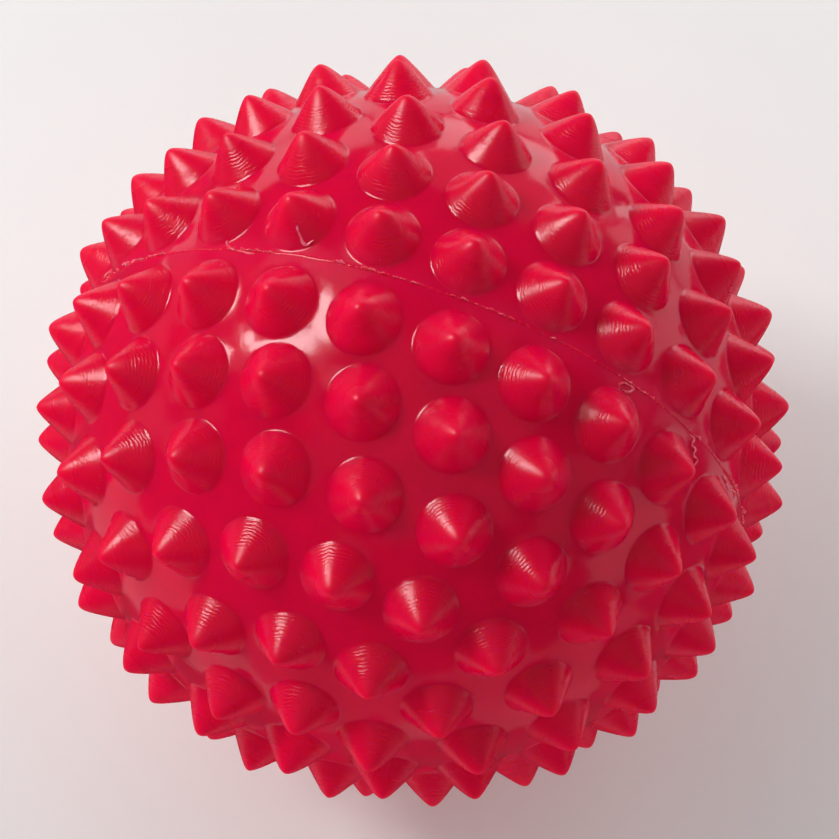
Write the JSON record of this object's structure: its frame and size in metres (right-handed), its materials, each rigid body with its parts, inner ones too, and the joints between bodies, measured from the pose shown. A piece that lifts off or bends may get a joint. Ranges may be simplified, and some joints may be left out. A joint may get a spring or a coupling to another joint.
{
  "type": "massage ball",
  "caption": "Hollow soft ball covered in solid conical nubs, moulded in two halves joined at a seam, with a plug valve at one pole, for rolling under a hand or foot.",
  "frame": {"origin": "centre of the ball, which is its centroid", "axes": "+Y along the mould and valve axis, out of the valve's mouth; the seam is in the XZ plane; -Z is down when the ball rests on four nubs"},
  "size_m": [0.0896, 0.0879, 0.089],
  "materials": {
    "skin": "glossy, slightly translucent crimson soft vinyl",
    "weld": "glossy crimson soft vinyl with a torn edge",
    "seat": "satin deep crimson soft vinyl",
    "plug": "satin deep crimson soft vinyl"
  },
  "bodies": {
    "ball": {"valve_half_skin": "skin", "plain_half_skin": "skin", "seam_weld": "weld", "valve_seat": "seat"},
    "plug": {"valve_plug": "plug"}
  },
  "joints": [
    {"name": "plug_pull", "type": "slide", "parent": "ball", "child": "plug", "axis": [0, 1, 0], "range_m": [0, 0.016]}
  ]
}
